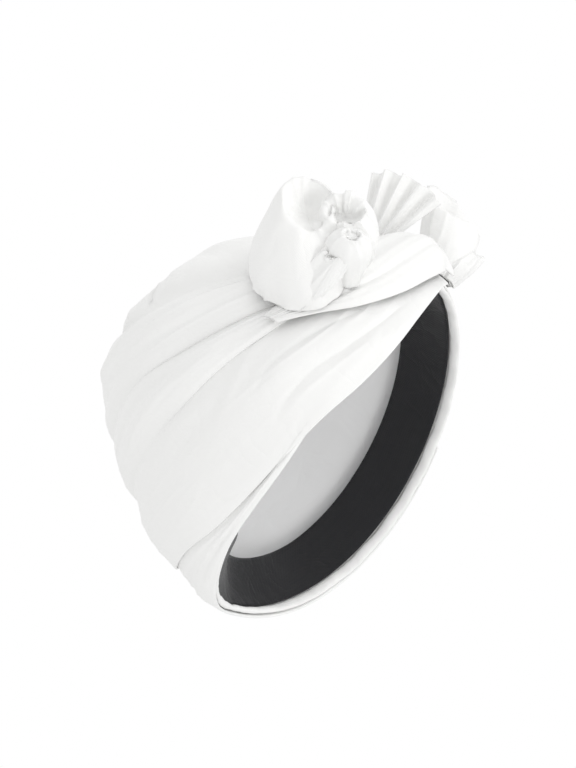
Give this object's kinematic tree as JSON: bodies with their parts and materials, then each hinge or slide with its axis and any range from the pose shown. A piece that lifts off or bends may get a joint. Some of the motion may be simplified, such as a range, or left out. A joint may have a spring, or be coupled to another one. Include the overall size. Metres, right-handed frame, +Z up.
{
  "type": "turban headwrap",
  "caption": "Close white cloth turban, folded wraps round the back of the head, a knot at the forehead between two rosettes, black sweatband.",
  "frame": {"origin": "centre of the head opening, level with the rim at the forehead and at the nape", "axes": "+Z up out of the crown, -Y towards the forehead and its knot, +X towards the wearer's left"},
  "size_m": [0.1839, 0.2442, 0.1631],
  "materials": {
    "white_cloth": "smooth white cotton blend with a faint sheen",
    "white_lining": "matte white cap cloth",
    "black_band": "matte black woven band"
  },
  "bodies": {
    "root": {"sweatband": "black_band", "cap": "white_lining", "rim_hem": "white_cloth", "crown_drape": "white_cloth", "wrap_crown": "white_cloth", "wrap_upper": "white_cloth", "wrap_middle": "white_cloth", "wrap_lower": "white_cloth", "knot_strap": "white_cloth", "rosette_right": "white_cloth", "rosette_left": "white_cloth", "centre_frill": "white_cloth"}
  },
  "joints": []
}
